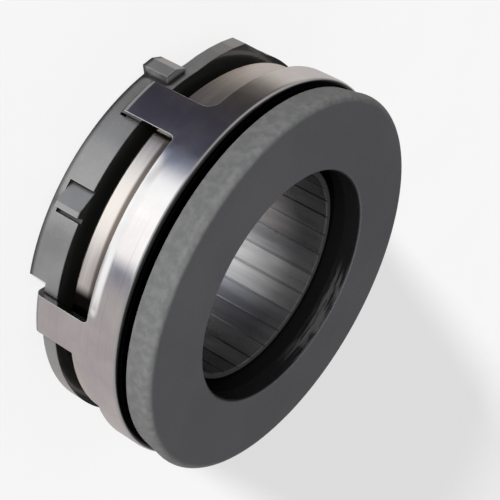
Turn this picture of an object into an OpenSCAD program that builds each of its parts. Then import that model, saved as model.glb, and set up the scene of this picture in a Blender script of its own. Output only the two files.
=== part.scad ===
// Clutch release bearing: a ball bearing held on a moulded guide sleeve by a pressed steel cap.
// The axis is Z, the thrust face points up, and the fork pads stand on z = 0. Millimetres.

/* [Guide sleeve] */
// Bore that slides on the guide tube, diameter
guide_d = 35; // [30:0.5:40]
// Wall of the sleeve's tube
sleeve_wall = 1; // [0.8:0.1:1.6]
// Depth of the sleeve's front rim below the thrust face
rim_depth = 5; // [3:0.5:8]
// Rounding of the sleeve's front rim
rim_round = 0.3; // [0.1:0.05:0.4]
// Thickness of the flange
flange_t = 2.6; // [2:0.1:4]
// Fillet between the tube and the flange's front
root_fillet = 1; // [0.4:0.1:1.6]
// Height of the fork pads behind the flange
pad_h = 3.2; // [2.5:0.1:6]
// Radial width of a fork pad
pad_w = 9; // [6:0.5:10]
// Angle where a fork pad starts, at its lug
pad_from = 41.6; // [36:0.2:44]
// Angle where a fork pad ends
pad_to = 114; // [100:1:115]
// Angle that a stop lug covers
lug_span = 7; // [5:0.5:8]
// Height of a stop lug above the rim
lug_h = 1.7; // [1:0.1:3]
// Fall of a stop lug's top on its far side
lug_fall = 0.9; // [0.3:0.1:1.2]
// Length of a stop lug along the axis
lug_len = 4.6; // [3:0.2:5.6]
// Angle of the step of a rim nib
nib_at = 93; // [80:1:100]
// Angle over which the rim dips and rises to a nib
nib_span = 8; // [4:0.2:10]
// Height of a rim nib
nib_h = 0.8; // [0.5:0.1:1.5]
// Height above the pads where a rim nib starts
nib_rear = 1.3; // [0.5:0.1:2.5]
// Width of the slot at the step of a rim nib
nib_slot_w = 0.8; // [0.4:0.1:1.5]
// Depth of that slot and of the dip before a nib
nib_slot_depth = 0.6; // [0.3:0.1:1]
// Angle of a rim corner, where a flat of the rim starts
ear_at = 19; // [12:0.5:22]
// Angle over which the rim rises to a corner
ear_span = 20; // [10:1:20]
// Height of a rim corner
ear_h = 1.6; // [0.5:0.1:2]
// Number of fine grooves along the bore
groove_count = 30; // [12:2:60]
// Width of a bore groove
groove_w = 0.3; // [0.2:0.05:0.5]
// Depth of a bore groove
groove_depth = 0.2; // [0.1:0.05:0.4]

/* [Retaining cap] */
// Thickness of the cap's sheet
sheet_t = 0.9; // [0.6:0.1:1.2]
// Outer radius of the cap's bends
bend_r = 1.3; // [1.2:0.1:2]
// Width of the band along the axis, on its narrow stretches
band_w = 5.2; // [4:0.1:6]
// Extra width of the band between the legs beside a fork pad
band_extra = 1.4; // [1:0.1:4]
// Angle of the leg beside a lug
leg_a = 57; // [54:0.5:60]
// Angle of the leg past the end of a fork pad
leg_b = 123; // [122:0.5:128]
// Width of a leg
leg_w = 6.6; // [5:0.1:7]
// Reach of a leg's hook under the flange
hook_reach = 3; // [2:0.1:4]
// Fillet between a leg and a narrow stretch of the band
leg_fillet = 2; // [1:0.1:2.4]
// Fillet between a leg and a wide stretch of the band
wide_fillet = 0.9; // [0.5:0.1:1.6]
// Length of the slope between a leg and the band, around the band
flare_len = 9.4; // [6:0.2:11]
// Height of the slope between a leg and the band, along the axis
flare_h = 3.5; // [2:0.1:4]

/* [Ball bearing] */
// Ball diameter
ball_d = 6; // [5:0.1:7]
// Number of balls
ball_count = 18; // [14:1:18]
// Clearance between a ball and its races
race_play = 0.06; // [0.02:0.01:0.1]
// Wall of the thrust ring under the race
race_wall = 2.5; // [2:0.1:4]
// Wall of the outer ring over the race
outer_wall = 1.88; // [1.4:0.1:3]
// Height of a race's low shoulder
low_shoulder = 0.55; // [0.3:0.05:1]
// Height of a race's high shoulder
high_shoulder = 2.2; // [1.6:0.1:2.4]
// Radial thickness of the cage
cage_t = 1.7; // [1.2:0.1:2]
// Height of the cage's web over the balls
cage_web = 0.78; // [0.5:0.02:1.2]
// Clearance between a ball and its cage pocket
pocket_play = 0.12; // [0.05:0.01:0.2]
// How far the cage holds past the middle of a ball
cage_hold = 1.4; // [0.8:0.1:2]
// Thickness of a seal
seal_t = 0.7; // [0.4:0.1:1]
// Bevel of the outer ring's edges
ring_bevel = 0.5; // [0.2:0.1:0.8]

/* [Thrust ring] */
// Thickness of the head behind the thrust face
head_t = 4.6; // [3.6:0.1:6]
// Taper of the head's rim, on radius
head_taper = 0.6; // [0:0.1:1]
// Rounding of the thrust face's outer edge
face_round = 1.1; // [0.3:0.1:1.4]
// Bevel at the mouth of the ring's bore
mouth_bevel = 0.4; // [0.2:0.1:0.8]
// Length of the narrow part of the ring's bore
mouth_len = 3; // [2:0.2:3.6]
// Step behind the narrow part of the ring's bore
mouth_step = 0.5; // [0.2:0.1:0.8]

/* [Clearances] */
// Between the sleeve and the thrust ring's bore, on radius
bore_gap = 1.1; // [0.9:0.1:2]
// Between the outer ring and the cap, on radius, for the sideways float
float_gap = 0.8; // [0.75:0.05:1.2]
// Between the flange's rim and the cap's legs
rim_gap = 0.2; // [0.1:0.05:0.5]
// Between the cap and the back of the thrust ring's head
head_gap = 0.8; // [0.5:0.1:1.5]
// Between the flange and the outer ring, filled by the spring
spring_gap = 2.1; // [1.6:0.1:3]
// Thickness of the disc spring
spring_t = 0.8; // [0.5:0.1:1]
// Between the rear seal and the balls
ball_room = 1.2; // [0.8:0.1:2]
// Between the seals and what turns past them
seal_gap = 0.4; // [0.3:0.1:0.8]
// Between a seal's edge and its seat
seal_fit = 0.05; // [0.02:0.01:0.1]
// Between a hook and the pad over it
hook_gap = 0.25; // [0.15:0.05:0.5]
// By which the cap's band stands out past the thrust ring
band_proud = 0.3; // [0:0.1:1]

/* [Hidden] */
$fn = 96;
eps = 0.01;
over = 1;
steps = 4;
flat_dip = 0.2;
lug_inset = 0.3;
ball_r = ball_d / 2;
groove_r = ball_r + race_play;

// radii, from the guide bore outwards
guide_r = guide_d / 2;
sleeve_r = guide_r + sleeve_wall;
mouth_r = sleeve_r + bore_gap;
relief_r = mouth_r + mouth_step;
race_in = relief_r + race_wall;
pitch_r = race_in + groove_r;
race_out = pitch_r + groove_r;
outer_r = race_out + outer_wall;
cap_in = outer_r + float_gap;
cap_r = cap_in + sheet_t;
head_r = cap_r - band_proud;
flange_r = cap_in - rim_gap;
lug_r = flange_r + lug_h;
rim_root = flange_r - pad_w / 2;
land_in = race_in + low_shoulder;
shoulder_in = race_in + high_shoulder;
land_out = race_out - low_shoulder;
shoulder_out = race_out - high_shoulder;
cage_in = shoulder_in + seal_gap;
cage_out = cage_in + cage_t;
lip_in = land_out + seal_gap;
hook_in = flange_r - hook_reach;

// heights, from the fork pads up
flange_rear = pad_h;
flange_front = flange_rear + flange_t;
ring_rear = flange_front + spring_gap;
rear_seal_z = ring_rear + seal_gap;
ball_z = rear_seal_z + seal_t + ball_room + ball_r;
cage_top = ball_z + ball_r + pocket_play + cage_web;
front_seal_z = cage_top + seal_gap;
ring_front = front_seal_z + seal_t + 2 * seal_fit;
cap_top = ring_front + sheet_t;
head_rear = cap_top + head_gap;
face_z = head_rear + head_t;
rim_z = face_z - rim_depth;
hook_z = flange_rear - sheet_t;
tube_end = rear_seal_z + seal_gap / 2;
band_rear = cap_top - band_w;
wide_rear = band_rear - band_extra;
reach = 2 * cap_r;

turns = [0, 180];
legs = [leg_a, leg_b];

function ball_name(i) = str("ball_", i < 10 ? "0" : "", i);
BALLS = [for (i = [1:ball_count]) ball_name(i)];

function polar(r, a) = [r * cos(a), r * sin(a)];

// Wedge about the axis between two angles
module wedge(a0, a1, h) {
    linear_extrude(h)
        polygon(concat([[0, 0]], [for (k = [0:steps]) polar(reach, a0 + (a1 - a0) * k / steps)]));
}

// Ring with a square section
module washer(r0, r1, h) {
    difference() {
        cylinder(r = r1, h = h);
        translate([0, 0, -over]) cylinder(r = r0, h = h + 2 * over);
    }
}

// Piece of a ring between two angles
module ring_piece(r0, r1, a0, a1, h) {
    intersection() {
        washer(r0, r1, h);
        wedge(a0, a1, h);
    }
}

// Tube, flange and root fillet of the sleeve, as a section
module sleeve_section() {
    square_to(guide_r, 0, sleeve_r, rim_z - rim_round);
    square_to(guide_r, 0, sleeve_r - rim_round, rim_z);
    translate([sleeve_r - rim_round, rim_z - rim_round]) circle(r = rim_round);
    square_to(guide_r, flange_rear, flange_r, flange_front);
    difference() {
        square_to(sleeve_r - eps, flange_front - eps, sleeve_r + root_fillet, flange_front + root_fillet);
        translate([sleeve_r + root_fillet, flange_front + root_fillet]) circle(r = root_fillet);
    }
}

// Rectangle given by two corners
module square_to(x0, y0, x1, y1) {
    translate([x0, y0]) square([x1 - x0, y1 - y0]);
}

// Fork pad with its stop lug
module fork_pad() {
    lug_from = pad_from + lug_inset;
    lug_to = lug_from + lug_span;
    ring_piece(flange_r - pad_w, flange_r, pad_from, pad_to, flange_rear + eps);
    linear_extrude(lug_len)
        polygon([polar(rim_root, lug_from), polar(lug_r - lug_fall, lug_from),
            polar(lug_r, lug_from + lug_span / 2), polar(lug_r, lug_to), polar(rim_root, lug_to)]);
}

// Corner of the flange's rim, with a rise on one side and a flat on the other
module rim_corner() {
    foot = ear_at + ear_span;
    rise = [for (k = [0:steps]) polar(flange_r + ear_h * k / steps, foot - ear_span * k / steps)];
    translate([0, 0, flange_rear])
        linear_extrude(flange_t)
            polygon(concat([polar(rim_root, foot)], rise, [[flange_r - flat_dip, 0], [rim_root, 0]]));
}

// Block that a rim nib is cut from
module nib_block() {
    back = nib_at - nib_span * 3 / 4;
    translate([0, 0, nib_rear])
        linear_extrude(flange_front - nib_rear)
            polygon([polar(rim_root, back), polar(flange_r + nib_h, back),
                polar(flange_r + nib_h, nib_at), polar(rim_root, nib_at)]);
}

// Room over the dip of the rim and the rise to a nib
module nib_rise() {
    foot = nib_at - nib_span;
    top = nib_at - nib_span / 6;
    translate([0, 0, nib_rear])
        linear_extrude(reach)
            polygon([polar(flange_r - nib_slot_depth, foot), polar(flange_r + nib_h, top),
                polar(reach, top), polar(reach, foot)]);
}

// Slot that lets a leg's hook in under a fork pad
module hook_slot(a) {
    rotate(a)
        translate([hook_in - hook_gap, -leg_w / 2 - hook_gap, hook_z - hook_gap])
            cube([reach, leg_w + 2 * hook_gap, sheet_t + hook_gap]);
}

// Slot in the rim at the step of a nib
module nib_slot() {
    rotate(nib_at)
        translate([flange_r - nib_slot_depth, 0, nib_rear])
            cube([reach, nib_slot_w, reach]);
}

module guide_sleeve() {
    color("dimgray")
        difference() {
            union() {
                rotate_extrude() sleeve_section();
                for (t = turns) rotate(t) {
                    fork_pad();
                    nib_block();
                    rim_corner();
                }
            }
            for (t = turns) rotate(t) {
                hook_slot(leg_a);
                nib_rise();
                nib_slot();
            }
            for (i = [0:groove_count - 1])
                rotate(360 / groove_count * i)
                    translate([guide_r - over, -groove_w / 2, -over])
                        cube([over + groove_depth, groove_w, rim_z + 2 * over]);
        }
}

// Rectangle with its two outer corners rounded
module rounded_end(x0, y0, x1, y1, r) {
    square_to(x0, y0, x1 - r, y1);
    square_to(x0, y0 + r, x1, y1 - r);
    translate([x1 - r, y0 + r]) circle(r = r);
    translate([x1 - r, y1 - r]) circle(r = r);
}

// Lip, wall and hook of the cap, as a section
module cap_section() {
    inner_bend = bend_r - sheet_t;
    first = min(lip_in, hook_in);
    difference() {
        rounded_end(first, hook_z, cap_r, cap_top, bend_r);
        rounded_end(first - over, flange_rear, cap_in, ring_front, inner_bend);
        square_to(first - over, ring_front - eps, lip_in, cap_top + over);
        square_to(first - over, hook_z - over, hook_in, flange_rear + eps);
    }
}

// Fillet of radius r on one side of a leg, where it meets a band that ends at height z
module side_fillet(a, side, z, r) {
    rotate(a) translate([0, side * (leg_w / 2 - eps), z + eps])
        rotate([90, 0, 90])
            linear_extrude(reach)
                mirror([side > 0 ? 0 : 1, 0])
                    difference() {
                        square_to(-over, -r, r, over);
                        translate([r, -r]) circle(r = r);
                    }
}

// Slope on the far side of a leg, down to the narrow band
module side_flare(a) {
    rotate(a) translate([0, 0, band_rear])
        rotate([90, 0, 90])
            linear_extrude(reach)
                polygon([[0, over], [leg_w / 2 + flare_len * (1 + over / flare_h), over],
                    [leg_w / 2, -flare_h], [0, -flare_h]]);
}

// Outline that the cap is cut to, around the band and along the legs
module cap_outline() {
    translate([0, 0, band_rear]) cylinder(r = reach, h = band_w + over);
    for (t = turns) rotate(t) {
        translate([0, 0, wide_rear]) wedge(leg_a, leg_b, band_w);
        for (a = legs)
            rotate(a) translate([0, -leg_w / 2, hook_z - over])
                cube([reach, leg_w, cap_top - hook_z]);
        side_fillet(leg_a, 1, wide_rear, wide_fillet);
        side_fillet(leg_b, -1, wide_rear, wide_fillet);
        side_fillet(leg_a, -1, band_rear, leg_fillet);
        side_flare(leg_b);
    }
}

module retaining_cap() {
    color("silver")
        intersection() {
            rotate_extrude() cap_section();
            cap_outline();
        }
}

// Groove that the balls run in, as a section
module race() {
    translate([pitch_r, ball_z]) circle(r = groove_r);
}

module outer_ring() {
    color("lightgray")
        rotate_extrude()
            difference() {
                polygon([[shoulder_out, ring_rear], [outer_r - ring_bevel, ring_rear],
                    [outer_r, ring_rear + ring_bevel], [outer_r, ring_front - ring_bevel],
                    [outer_r - ring_bevel, ring_front], [shoulder_out, ring_front]]);
                square_to(0, ball_z, land_out, ring_front + over);
                race();
            }
}

module thrust_ring() {
    rim_back = head_r - head_taper;
    color("slategray")
        rotate_extrude()
            difference() {
                union() {
                    polygon([[mouth_r, tube_end], [land_in, tube_end], [land_in, ball_z],
                        [shoulder_in, ball_z], [shoulder_in, head_rear], [rim_back, head_rear],
                        [head_r, face_z - face_round], [head_r - face_round, face_z],
                        [mouth_r + mouth_bevel, face_z], [mouth_r, face_z - mouth_bevel]]);
                    translate([head_r - face_round, face_z - face_round]) circle(r = face_round);
                }
                square_to(0, 0, relief_r, face_z - mouth_len);
                race();
            }
}

module ball(i) {
    color("gainsboro")
        rotate(360 / ball_count * (i - 1))
            translate([pitch_r, 0, ball_z]) sphere(r = ball_r);
}

module cage() {
    color("saddlebrown")
        difference() {
            translate([0, 0, ball_z - cage_hold]) washer(cage_in, cage_out, cage_top - ball_z + cage_hold);
            for (i = [1:ball_count])
                rotate(360 / ball_count * (i - 1))
                    translate([pitch_r, 0, ball_z]) sphere(r = ball_r + pocket_play);
        }
}

module front_seal() {
    color("black")
        translate([0, 0, front_seal_z])
            washer(shoulder_in + seal_gap, land_out - seal_fit, seal_t);
}

module rear_seal() {
    color("black")
        translate([0, 0, rear_seal_z])
            washer(land_in + seal_gap, shoulder_out - seal_fit, seal_t);
}

module disc_spring() {
    in_r = sleeve_r + root_fillet + spring_t;
    out_r = (shoulder_out + outer_r) / 2;
    color("darkgray")
        rotate_extrude()
            polygon([[in_r, flange_front], [in_r + spring_t, flange_front],
                [out_r, ring_rear - spring_t], [out_r, ring_rear],
                [out_r - spring_t, ring_rear], [in_r, flange_front + spring_t]]);
}

guide_sleeve();
retaining_cap();
outer_ring();
thrust_ring();
cage();
front_seal();
rear_seal();
disc_spring();
for (i = [1:ball_count]) ball(i);
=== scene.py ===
import math

import bpy
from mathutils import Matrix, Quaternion, Vector


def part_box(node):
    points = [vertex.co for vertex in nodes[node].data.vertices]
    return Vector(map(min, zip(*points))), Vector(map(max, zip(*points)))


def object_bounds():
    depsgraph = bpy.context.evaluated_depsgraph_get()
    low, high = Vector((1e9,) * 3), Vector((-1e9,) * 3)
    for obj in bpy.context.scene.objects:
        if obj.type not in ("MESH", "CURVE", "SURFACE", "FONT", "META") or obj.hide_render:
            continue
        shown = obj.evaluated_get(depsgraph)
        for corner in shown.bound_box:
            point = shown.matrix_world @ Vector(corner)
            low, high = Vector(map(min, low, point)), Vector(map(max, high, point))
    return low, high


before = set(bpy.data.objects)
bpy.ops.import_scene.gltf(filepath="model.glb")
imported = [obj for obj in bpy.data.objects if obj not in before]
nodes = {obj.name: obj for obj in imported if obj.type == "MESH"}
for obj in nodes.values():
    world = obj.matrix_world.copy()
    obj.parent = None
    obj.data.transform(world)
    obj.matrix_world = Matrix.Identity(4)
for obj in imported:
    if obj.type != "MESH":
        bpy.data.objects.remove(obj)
cad_low, cad_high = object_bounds()
scene = bpy.context.scene
scene.view_settings.view_transform = "Standard"

# Places on the part that the paint follows, in metres
MM = 0.001
FACE_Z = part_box("thrust_ring")[1].z
RIM_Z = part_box("guide_sleeve")[1].z
HEAD_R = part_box("thrust_ring")[1].x
FLANGE_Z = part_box("disc_spring")[0].z
CAP_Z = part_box("retaining_cap")[1].z
HOOK_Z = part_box("retaining_cap")[0].z
CAP_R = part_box("retaining_cap")[1].x
BEND_R = 1.3 * MM
GUIDE_R = 17.5 * MM

# Radius at which lengths round the axis are measured, while angles in the paint are in radians
ROUND_R = 30 * MM
# Range that most of a noise lies in, and how rough each noise is
NOISE_LOW = 0.3
NOISE_HIGH = 0.7
NOISE_ROUGH = 0.55
# Depth of the fine grain on moulded pieces and rubber
GRAIN_DEPTH = 0.01 * MM
# Rays sent out for a softened edge and for a recess
EDGE_SAMPLES = 6
RECESS_SAMPLES = 8
# Likeness of the plain and the softened direction on a flat stretch and on an edge
LIKE_FLAT = 0.999
LIKE_EDGE = 0.86
# Colour of the floor and the room as the camera sees them
BACKDROP = (0.93, 0.93, 0.93, 1)


# Shader helpers
class Nodes:
    """A node tree with short calls to add nodes and links."""

    def __init__(self, tree):
        self.tree = tree
        self.tree.nodes.clear()

    def add(self, kind, settings=None, **inputs):
        made = self.tree.nodes.new("ShaderNode" + kind)
        for key, value in (settings or {}).items():
            setattr(made, key, value)
        for key, value in inputs.items():
            self.feed(made, key, value)
        return made

    def feed(self, made, key, value):
        """Set or link one input, given by its name or by the letter i and its number."""
        names = [s.name.replace(" ", "_").lower() for s in made.inputs]
        slot = made.inputs[int(key[1:])] if key[1:].isdigit() else made.inputs[names.index(key)]
        if isinstance(value, bpy.types.NodeSocket):
            self.tree.links.new(value, slot)
        else:
            slot.default_value = value

    def math(self, operation, a, b=0.0):
        return self.add("Math", {"operation": operation}, i0=a, i1=b).outputs[0]

    def times(self, a, b):
        return self.math("MULTIPLY", a, b)

    def less(self, a, b):
        return self.math("SUBTRACT", a, b)

    def vector(self, operation, a, b=(0.0, 0.0, 0.0)):
        made = self.add("VectorMath", {"operation": operation}, i0=a, i1=b)
        return made.outputs["Value" if operation == "DOT_PRODUCT" else "Vector"]

    def apart(self, vector):
        return self.add("SeparateXYZ", i0=vector).outputs

    def joined(self, x=0.0, y=0.0, z=0.0):
        return self.add("CombineXYZ", i0=x, i1=y, i2=z).outputs[0]

    def mix(self, share, a, b):
        return self.add("Mix", {"data_type": "RGBA"}, i0=share, i6=a, i7=b).outputs[2]

    def span(self, value, low, high, to_low=0.0, to_high=1.0, kind="SMOOTHSTEP"):
        """Number that goes from to_low to to_high while a value goes from low to high."""
        ends = {"i1": low, "i2": high, "i3": to_low, "i4": to_high}
        return self.add("MapRange", {"interpolation_type": kind}, i0=value, **ends).outputs[0]

    def line(self, value, low, high):
        """Share of the straight way from low to high that a value has gone."""
        return self.span(value, low, high, kind="LINEAR")

    def window(self, value, first, last):
        """1 between two soft ends, each given by where it is 0 and where it is 1."""
        return self.times(self.span(value, *first), self.span(value, *last))

    def ramp(self, value, stops):
        """Colour that follows a value through stops, each a place from 0 to 1 and a tone."""
        made = self.add("ValToRGB", i0=value)
        elements = made.color_ramp.elements
        while len(elements) < len(stops):
            elements.new(0.5)
        for element, (position, tone) in zip(elements, stops):
            element.position = position
            element.color = (*tone, 1.0)
        return made.outputs[0]


class Paint(Nodes):
    """A material's node tree, with calls for noises, edges and the finished shader."""

    def __init__(self, name):
        self.material = bpy.data.materials.new(name)
        self.material.use_nodes = True
        super().__init__(self.material.node_tree)
        self.output = self.add("OutputMaterial")
        self.place = self.add("TexCoord").outputs["Object"]

    def noise(self, scale, vector=None, detail=3.0):
        where = vector or self.place
        made = self.add("TexNoise", i0=where, scale=scale, detail=detail, roughness=NOISE_ROUGH)
        return made.outputs[0]

    def drawn(self, place, scales, detail=3.0):
        """Noise drawn out along the directions that have a small scale."""
        return self.noise(1.0, self.vector("MULTIPLY", place, scales), detail)

    def rings(self, flat, scale, detail):
        """Noise that changes only with the distance from the axis."""
        return self.noise(1.0, self.joined(self.times(flat, scale)), detail)

    def blend(self, noise, a, b):
        """Colour that wanders from a to b with a noise."""
        return self.mix(self.span(noise, NOISE_LOW, NOISE_HIGH), a, b)

    def vary(self, noise, low, high):
        """Number that wanders from low to high with a noise."""
        return self.span(noise, NOISE_LOW, NOISE_HIGH, low, high)

    def peaks(self, noise, low, high, most=1.0):
        """Share that rises from 0 to its most where a noise rises from low to high."""
        return self.span(noise, low, high, 0.0, most)

    def round_place(self):
        """Place as lengths round, from and along the axis, then its angle, radius and height."""
        x, y, height = self.apart(self.place)
        angle = self.math("ARCTAN2", y, x)
        flat = self.math("SQRT", self.math("ADD", self.times(x, x), self.times(y, y)))
        place = self.joined(self.times(angle, ROUND_R), flat, height)
        return place, angle, flat, height

    def facing(self):
        """Direction that the surface faces."""
        return self.add("NewGeometry").outputs["Normal"]

    def soft_facing(self, radius):
        """Direction that the surface would face if its edges were rounded."""
        return self.add("Bevel", {"samples": EDGE_SAMPLES}, radius=radius).outputs[0]

    def edges(self, radius):
        """Where the surface bends sharply, from 0 on flat stretches to 1 on edges."""
        same = self.vector("DOT_PRODUCT", self.soft_facing(radius), self.facing())
        return self.span(same, LIKE_FLAT, LIKE_EDGE)

    def recess(self, reach, open_share, closed_share):
        """Where other faces lie within reach, from 0 in the open to 1 in tight corners."""
        made = self.add("AmbientOcclusion", {"samples": RECESS_SAMPLES}, distance=reach)
        return self.span(made.outputs["AO"], open_share, closed_share)

    def finish(self, colour, rough, bumps=(), normal=None, **more):
        """Material with its shader, and bumps given as pairs of a height and its depth."""
        shader = self.add("BsdfPrincipled", base_color=colour, roughness=rough, **more)
        for height, depth in bumps:
            bump = self.add("Bump", strength=1.0, distance=depth, height=height)
            if normal is not None:
                self.feed(bump, "normal", normal)
            normal = bump.outputs[0]
        if normal is not None:
            self.feed(shader, "normal", normal)
        self.tree.links.new(shader.outputs[0], self.output.inputs[0])
        return self.material


# Materials
def dark_steel():
    """Dark face ground flat, a lighter blasted rim, and a bore painted near-black as shade with
    lighter streaks as a painted reflection.
    """
    face_tones = (0.073, 0.073, 0.079, 1), (0.081, 0.081, 0.085, 1)
    rim_tones = (0.098, 0.1, 0.1, 1), (0.132, 0.133, 0.132, 1)
    speck_tone = (0.16, 0.16, 0.163, 1)
    bore_tone = (0.006, 0.006, 0.0065, 1)
    bore_reflection_tone = (0.05, 0.05, 0.051, 1)
    mouth_r = 21.5 * MM
    mouth_blend = 1 * MM
    p = Paint("dark_steel")
    place, angle, flat, height = p.round_place()
    patches = p.noise(scale=900.0, detail=4.0)
    grain = p.noise(scale=3400.0, detail=2.0)
    clouds = p.noise(scale=60.0, detail=2.0)
    near_face = p.span(height, FACE_Z - 0.6 * MM, FACE_Z - 0.1 * MM)
    near_mouth = p.span(flat, mouth_r + mouth_blend, mouth_r)
    within_rim = p.span(flat, HEAD_R - 0.3 * MM, HEAD_R - 1.4 * MM)
    face = p.times(within_rim, p.math("MAXIMUM", near_face, near_mouth))
    tone = p.mix(face, p.mix(p.peaks(patches, 0.33, 0.7), *rim_tones), p.blend(clouds, *face_tones))
    tone = p.mix(p.peaks(grain, 0.6, 0.75, most=0.2), tone, speck_tone)
    # Bore below the face painted near-black, a painted shade
    below_face = p.span(height, FACE_Z - 0.02 * MM, FACE_Z - 0.3 * MM)
    bore = p.times(p.span(flat, mouth_r, mouth_r - mouth_blend), below_face)
    tone = p.mix(bore, tone, bore_tone)
    # Lighter streaks on one side of the bore, a painted reflection
    streaks = p.peaks(p.drawn(place, (150.0, 900.0, 1800.0)), 0.38, 0.6)
    reflection_side = p.window(angle, (-1.2, -1.5), (-2.4, -2.0))
    reflection_band = p.span(height, FACE_Z - 3.1 * MM, FACE_Z - 1.6 * MM)
    bore_reflection = p.times(p.times(reflection_band, reflection_side), streaks)
    tone = p.mix(p.times(bore_reflection, bore), tone, bore_reflection_tone)
    turned = p.times(p.rings(flat, scale=5200.0, detail=1.0), p.times(face, 0.3))
    marks = p.math("ADD", turned, p.times(patches, 0.7))
    rough = p.less(p.vary(patches, 0.52, 0.64), p.times(bore, 0.25))
    gloss = p.less(0.35, p.times(bore, 0.25))
    return p.finish(tone, rough, [(marks, 0.012 * MM)], metallic=0.1, specular_ior_level=gloss)


def cut_sides(p, flat):
    """How far the surface faces round the axis, from 0 to 1, as the cut sides of the legs do."""
    x, y, _ = p.apart(p.place)
    facing_x, facing_y, _ = p.apart(p.facing())
    turned = p.less(p.times(facing_y, x), p.times(facing_x, y))
    return p.math("ABSOLUTE", p.math("DIVIDE", turned, flat))


def sheet_facing(p, flat, height):
    """Exact direction that the cap's outer side faces, along its wall and round its two bends."""
    x, y, _ = p.apart(p.place)
    out = p.math("MAXIMUM", p.less(flat, CAP_R - BEND_R), 0.0)
    rise = p.math("MAXIMUM", p.less(height, CAP_Z - BEND_R), 0.0)
    fall = p.math("MINIMUM", p.less(height, HOOK_Z + BEND_R), 0.0)
    share = p.math("DIVIDE", out, flat)
    facing = p.joined(p.times(x, share), p.times(y, share), p.math("ADD", rise, fall))
    return p.vector("NORMALIZE", facing)


def sheet_normal(p, flat, height):
    """Softened edges, on the exact direction where the surface is the cap's outer side."""
    soft_edge = 0.2 * MM
    inner_side = 0.5
    outer_side = 0.75
    soft = p.soft_facing(soft_edge)
    plain = p.facing()
    exact = sheet_facing(p, flat, height)
    fitted = p.vector("ADD", exact, p.vector("SUBTRACT", soft, plain))
    suits = p.span(p.vector("DOT_PRODUCT", exact, plain), inner_side, outer_side)
    chosen = p.add("Mix", {"data_type": "VECTOR"}, i0=suits, i4=soft, i5=fitted).outputs[1]
    return p.vector("NORMALIZE", chosen)


def cap_steel():
    """Bright pressed sheet with rolling marks, a rolled rear edge and painted shade on its lip."""
    sheet_tones = (0.8, 0.78, 0.785, 1), (0.88, 0.87, 0.865, 1)
    line_tone = (0.62, 0.6, 0.61, 1)
    cut_tone = (0.3, 0.29, 0.29, 1)
    painted_shade_tone = (0.012, 0.012, 0.012, 1)
    p = Paint("cap_steel")
    place, angle, flat, height = p.round_place()
    lines = p.drawn(place, (90.0, 900.0, 2600.0))
    clouds = p.noise(scale=240.0, detail=4.0)
    tone = p.blend(clouds, *sheet_tones)
    tone = p.mix(p.peaks(lines, 0.55, 0.75, most=0.3), tone, line_tone)
    tone = p.mix(p.span(cut_sides(p, flat), 0.5, 0.9, 0.0, 0.85), tone, cut_tone)
    # Lip past the bend painted near-black, a painted shade of the gap beside the head
    past_bend = p.span(flat, CAP_R - 0.15 * MM, CAP_R - 0.4 * MM)
    lip = p.times(past_bend, p.span(height, CAP_Z - 0.9 * MM, CAP_Z - 0.5 * MM))
    tone = p.mix(lip, tone, painted_shade_tone)
    between_legs = p.window(p.math("ABSOLUTE", angle), (1.15, 1.317), (2.033, 1.95))
    edge_fall = p.span(height, CAP_Z - 6.6 * MM, CAP_Z - 4.8 * MM, -1.0, 0.0)
    bumps = [(p.times(edge_fall, between_legs), 0.25 * MM), (lines, 0.0025 * MM)]
    rough = p.vary(clouds, 0.1, 0.19)
    return p.finish(tone, rough, bumps, sheet_normal(p, flat, height), metallic=1.0)


def ring_steel():
    """Ground outer ring with fine marks around it, painted shade in its corners and by two legs,
    and a painted brown shadow line below the cap's edge.
    """
    steel_tones = (0.86, 0.8, 0.745, 1), (0.97, 0.935, 0.9, 1)
    band_tone = (0.55, 0.48, 0.42, 1)
    corner_shade_tone = (0.07, 0.05, 0.04, 1)
    cap_edge_shadow_tone = (0.16, 0.13, 0.11, 1)
    painted_shade_tone = (0.006, 0.005, 0.005, 1)
    p = Paint("ring_steel")
    place, angle, _, height = p.round_place()
    turn = p.math("FLOORED_MODULO", angle, math.pi)
    lines = p.drawn(place, (40.0, 900.0, 3600.0))
    bands = p.drawn(place, (10.0, 300.0, 700.0), detail=2.0)
    tone = p.mix(p.peaks(lines, 0.3, 0.72), *steel_tones)
    tone = p.mix(p.peaks(bands, 0.5, 0.72, most=0.2), tone, band_tone)
    # Darker in corners within reach of other faces, a painted shade
    tone = p.mix(p.recess(2.2 * MM, 0.94, 0.68), tone, corner_shade_tone)
    # Brown line just below the cap's edge between the legs, a painted shadow of that edge
    between_legs = p.window(turn, (1.07, 1.14), (2.1, 2.0))
    cap_edge_shadow = p.times(p.span(height, CAP_Z - 8.8 * MM, CAP_Z - 8.2 * MM), between_legs)
    tone = p.mix(p.times(cap_edge_shadow, 0.9), tone, cap_edge_shadow_tone)
    # Near-black beside one side of two legs, a painted shade
    by_leg = p.window(turn, (1.9, 1.965), (2.25, 2.2))
    tone = p.mix(by_leg, tone, painted_shade_tone)
    return p.finish(tone, p.vary(lines, 0.3, 0.4), [(lines, 0.003 * MM)], metallic=1.0)


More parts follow.
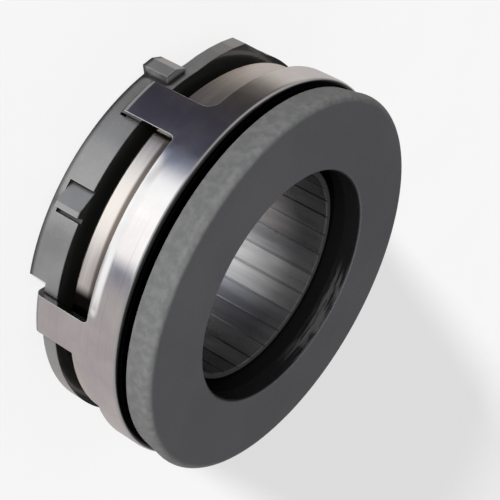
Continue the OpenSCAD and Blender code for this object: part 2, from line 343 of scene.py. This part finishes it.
def sleeve_plastic():
    """Moulded grey plastic; its bore painted with a sheen brighter toward the rear and with shade
    away from one side, and painted shade in grooves, recesses and on the flange face by the spring.
    """
    plastic_tones = (0.096, 0.096, 0.096, 1), (0.122, 0.122, 0.124, 1)
    speck_tone = (0.21, 0.21, 0.21, 1)
    edge_tone = (0.42, 0.42, 0.42, 1)
    rim_tone = (0.05, 0.05, 0.052, 1)
    rear_tones = (0.56, 0.56, 0.57, 1), (0.74, 0.74, 0.75, 1)
    front_tones = (0.085, 0.085, 0.088, 1), (0.12, 0.12, 0.125, 1)
    groove_shade_tone = (0.02, 0.02, 0.02, 1)
    dark_tone = (0.012, 0.012, 0.012, 1)
    painted_shade_tone = (0.012, 0.012, 0.011, 1)
    p = Paint("sleeve_plastic")
    _, angle, flat, height = p.round_place()
    grain = p.noise(scale=2400.0)
    clouds = p.noise(scale=160.0)
    streaks = p.drawn(p.place, (700.0, 700.0, 60.0))
    below_rim = p.span(height, RIM_Z - 0.1 * MM, RIM_Z - 0.4 * MM)
    inside = p.times(p.span(flat, GUIDE_R + 0.7 * MM, GUIDE_R + 0.4 * MM), below_rim)
    outside = p.less(1.0, inside)
    tone = p.blend(clouds, *plastic_tones)
    tone = p.mix(p.peaks(grain, 0.55, 0.75, most=0.25), tone, speck_tone)
    tone = p.mix(p.times(p.edges(0.25 * MM), 0.35), tone, edge_tone)
    tone = p.mix(p.span(height, RIM_Z - 1.2 * MM, RIM_Z - 0.8 * MM), tone, rim_tone)
    # Bore painted lighter toward the rear and darker toward the front, a painted sheen
    to_front = p.span(height, 3 * MM, 16.5 * MM)
    bore_tone = p.mix(to_front, p.blend(streaks, *rear_tones), p.blend(streaks, *front_tones))
    tone = p.mix(inside, tone, bore_tone)
    # Bore painted darker away from one side, a painted shade
    bore_lit_side = p.window(angle, (-0.787, -1.083), (-2.55, -2.32))
    bore_shaded_side = p.times(p.less(1.0, bore_lit_side), inside)
    tone = p.mix(p.times(bore_shaded_side, 0.65), tone, dark_tone)
    # Grooves painted a little darker, a painted shade
    groove = p.times(p.span(flat, GUIDE_R + 0.01 * MM, GUIDE_R + 0.08 * MM), inside)
    tone = p.mix(p.times(groove, 0.25), tone, groove_shade_tone)
    # Darker in corners within reach of other faces outside the bore, a painted shade
    recess = p.times(p.recess(1.2 * MM, 0.9, 0.62), outside)
    tone = p.mix(recess, tone, dark_tone)
    # Flange face by the spring painted near-black, a painted shade
    front_side = p.span(height, FLANGE_Z - 0.2 * MM, FLANGE_Z - 0.04 * MM)
    flange_front_shade = p.times(front_side, p.span(flat, GUIDE_R + 1 * MM, GUIDE_R + 1.3 * MM))
    tone = p.mix(flange_front_shade, tone, painted_shade_tone)
    rough = p.less(p.vary(clouds, 0.32, 0.4), p.times(inside, 0.12))
    return p.finish(tone, rough, [(grain, GRAIN_DEPTH)], p.soft_facing(0.15 * MM),
                    metallic=p.times(inside, 0.65), specular_ior_level=1.0,
                    coat_weight=p.less(outside, recess), coat_roughness=0.12, coat_ior=1.8)


def seal_rubber():
    """Black rubber with a fine grain."""
    rubber_tones = (0.012, 0.012, 0.013, 1), (0.025, 0.025, 0.026, 1)
    p = Paint("seal_rubber")
    grain = p.noise(scale=1500.0)
    tone = p.blend(grain, *rubber_tones)
    return p.finish(tone, p.vary(grain, 0.55, 0.75), [(grain, GRAIN_DEPTH)])


def spring_steel():
    """Dark spring steel with marks round the axis."""
    steel_tones = (0.05, 0.05, 0.055, 1), (0.1, 0.095, 0.09, 1)
    p = Paint("spring_steel")
    _, _, flat, _ = p.round_place()
    rings = p.rings(flat, scale=3000.0, detail=2.0)
    clouds = p.noise(scale=260.0)
    tone = p.blend(clouds, *steel_tones)
    return p.finish(tone, p.vary(clouds, 0.35, 0.5), [(rings, 0.004 * MM)], metallic=0.8)


def ball_steel():
    """Polished steel under a thin film of oil."""
    bare_tone = (0.8, 0.8, 0.8, 1)
    oiled_tone = (0.7, 0.68, 0.64, 1)
    p = Paint("ball_steel")
    film = p.noise(scale=500.0)
    tone = p.mix(p.peaks(film, 0.35, 0.7), bare_tone, oiled_tone)
    return p.finish(tone, p.vary(film, 0.06, 0.14), metallic=1.0)


def cage_plastic():
    """Brown moulded plastic with a fine grain."""
    plastic_tones = (0.2, 0.12, 0.06, 1), (0.27, 0.17, 0.09, 1)
    p = Paint("cage_plastic")
    grain = p.noise(scale=1400.0)
    clouds = p.noise(scale=180.0)
    tone = p.blend(clouds, *plastic_tones)
    return p.finish(tone, p.vary(grain, 0.45, 0.6), [(grain, GRAIN_DEPTH)])


paints = {
    "guide_sleeve": sleeve_plastic(),
    "retaining_cap": cap_steel(),
    "outer_ring": ring_steel(),
    "thrust_ring": dark_steel(),
    "cage": cage_plastic(),
    "disc_spring": spring_steel(),
}
rubber = seal_rubber()
bright_ball = ball_steel()
for name, piece in nodes.items():
    if name.startswith("ball_"):
        paint = bright_ball
    elif name.endswith("_seal"):
        paint = rubber
    else:
        paint = paints[name]
    piece.data.materials.clear()
    piece.data.materials.append(paint)


# Floor
FLOOR_HALF = 3.0
FLOOR_GAP = 0.02 * MM
# Share of the camera's view of the floor that is backdrop and not lit floor
FLOOR_GLOW = 0.66


def floor_paint():
    """Pale floor that keeps the shadow and lets metal see the studio around it."""
    floor_tones = (0.86, 0.86, 0.855, 1), (0.88, 0.88, 0.875, 1)
    p = Paint("floor_paint")
    ray = p.add("LightPath").outputs
    tone = p.blend(p.noise(scale=40.0), *floor_tones)
    matte = p.add("BsdfDiffuse", color=tone).outputs[0]
    glow = p.add("Emission", color=BACKDROP, strength=1.0).outputs[0]
    seen = p.times(ray["Is Camera Ray"], FLOOR_GLOW)
    shown = p.add("MixShader", i0=seen, i1=matte, i2=glow).outputs[0]
    through = p.add("BsdfTransparent").outputs[0]
    mixed = p.add("MixShader", i0=ray["Is Glossy Ray"], i1=shown, i2=through).outputs[0]
    p.tree.links.new(mixed, p.output.inputs[0])
    return p.material


corners = [(-FLOOR_HALF, -FLOOR_HALF, 0), (FLOOR_HALF, -FLOOR_HALF, 0),
           (FLOOR_HALF, FLOOR_HALF, 0), (-FLOOR_HALF, FLOOR_HALF, 0)]
floor_mesh = bpy.data.meshes.new("floor")
floor_mesh.from_pydata(corners, [], [(0, 1, 2, 3)])
floor = bpy.data.objects.new("floor", floor_mesh)
floor.location.z = cad_low.z - FLOOR_GAP
floor_mesh.materials.append(floor_paint())
scene.collection.objects.link(floor)


# Studio around the part, first the tones that metal sees by the direction in degrees round the axis
WALL_STOPS = [
    (-180, (0.43, 0.39, 0.39)),
    (-80, (0.5, 0.48, 0.47)),
    (-49, (0.56, 0.52, 0.5)),
    (-36, (0.56, 0.52, 0.49)),
    (-27, (0.38, 0.35, 0.32)),
    (-18, (0.16, 0.14, 0.13)),
    (-4, (0.055, 0.05, 0.048)),
    (20, (0.045, 0.042, 0.055)),
    (43, (0.065, 0.065, 0.09)),
    (54, (0.25, 0.28, 0.36)),
    (64, (1.05, 1.06, 1.08)),
    (85, (1.2, 1.19, 1.17)),
    (110, (1.1, 1.08, 1.08)),
    (119, (0.22, 0.23, 0.28)),
    (133, (0.43, 0.4, 0.395)),
    (180, (0.43, 0.39, 0.39)),
]
# Grey that metal sees low down in front, by the direction in degrees round the axis
FRONT_STOPS = [(50, 0.3), (70, 1.1), (150, 1.0), (165, 0.4)]
# Grey that metal sees above it, by the rise of the direction from -1 to 1
CEILING_STOPS = [(-0.1, 0.35), (0.15, 0.35), (0.3, 0.03), (1.0, 0.03)]
# Rises between which the walls pass into the ceiling, and into the low front
CEILING_RISE = (-0.25, -0.05)
FRONT_RISE = (-0.62, -0.75)
# Even light on matte surfaces
MATTE_LIGHT = (0.36, 0.36, 0.36, 1)


def turn_share(degrees):
    """Place of a direction round the axis on a ramp from 0 to 1."""
    return (degrees + 180) / 360


def rise_share(rise):
    """Place of a rise on a ramp from 0 to 1."""
    return (rise + 1) / 2


def studio():
    """Even light for matte surfaces, and for metal a white panel in front with darker sides."""
    world = bpy.data.worlds.new("studio")
    scene.world = world
    world.use_nodes = True
    n = Nodes(world.node_tree)
    x, y, rise = n.apart(n.add("TexCoord").outputs["Generated"])
    turn = n.line(n.math("ARCTAN2", y, x), -math.pi, math.pi)
    walls = n.ramp(turn, [(turn_share(degrees), tone) for degrees, tone in WALL_STOPS])
    front = n.ramp(turn, [(turn_share(degrees), [grey] * 3) for degrees, grey in FRONT_STOPS])
    height = n.line(rise, -1.0, 1.0)
    ceiling = n.ramp(height, [(rise_share(level), [grey] * 3) for level, grey in CEILING_STOPS])
    metal = n.mix(n.line(rise, *CEILING_RISE), walls, ceiling)
    metal = n.mix(n.line(rise, *FRONT_RISE), metal, front)
    ray = n.add("LightPath").outputs
    seen = n.mix(ray["Is Glossy Ray"], MATTE_LIGHT, metal)
    seen = n.mix(ray["Is Camera Ray"], seen, BACKDROP)
    shine = n.add("Background", color=seen, strength=1.0).outputs[0]
    n.add("OutputWorld", surface=shine)


studio()


# Lamps
LAMP_DISTANCE = 0.8


def direction(azimuth, elevation):
    """Direction at an angle round the axis and an angle above the floor, in degrees."""
    a = math.radians(azimuth)
    e = math.radians(elevation)
    return Vector((math.cos(a) * math.cos(e), math.sin(a) * math.cos(e), math.sin(e)))


def lamp(name, kind, azimuth, elevation, power, size, on_floor):
    """Lamp that looks at the part from a direction, for the floor alone or for all but it."""
    light = bpy.data.lights.new(name, kind)
    light.energy = power
    if kind == "SUN":
        light.angle = math.radians(size)
    else:
        light.size = size
    made = bpy.data.objects.new(name, light)
    back = direction(azimuth, elevation)
    made.location = (cad_low + cad_high) / 2 + back * LAMP_DISTANCE
    made.rotation_mode = "QUATERNION"
    made.rotation_quaternion = back.to_track_quat("Z", "Y")
    made.visible_glossy = False
    scene.collection.objects.link(made)
    lit = bpy.data.collections.new(name + "_lit")
    lit.objects.link(floor)
    made.light_linking.receiver_collection = lit
    lit.collection_objects[0].light_linking.link_state = "INCLUDE" if on_floor else "EXCLUDE"


lamp("key", "AREA", azimuth=78, elevation=12, power=6.5, size=0.3, on_floor=False)
lamp("top", "AREA", azimuth=60, elevation=75, power=3.0, size=0.5, on_floor=False)
lamp("side", "AREA", azimuth=158, elevation=8, power=5.0, size=0.3, on_floor=False)
lamp("floor_light", "SUN", azimuth=75, elevation=5.5, power=22.9, size=5.0, on_floor=True)

# Camera at the photograph's viewing angle, rolled as the part lies there
CAMERA_AZIMUTH = 83.35
CAMERA_ELEVATION = 27.11
CAMERA_ROLL = 118.73
CAMERA_DISTANCE = 236.73 * MM
CAMERA_AIM = Vector((2.28, -1.79, 15.25)) * MM

camera_data = bpy.data.cameras.new("camera")
camera_data.lens = 108.0
camera_data.sensor_width = 36.0
camera_data.clip_start = 0.01
camera_data.clip_end = 20.0
camera = bpy.data.objects.new("camera", camera_data)
camera_back = direction(CAMERA_AZIMUTH, CAMERA_ELEVATION)
roll = Quaternion((0.0, 0.0, 1.0), math.radians(CAMERA_ROLL))
camera.location = CAMERA_AIM + camera_back * CAMERA_DISTANCE
camera.rotation_mode = "QUATERNION"
camera.rotation_quaternion = camera_back.to_track_quat("Z", "Y") @ roll
scene.collection.objects.link(camera)
scene.camera = camera
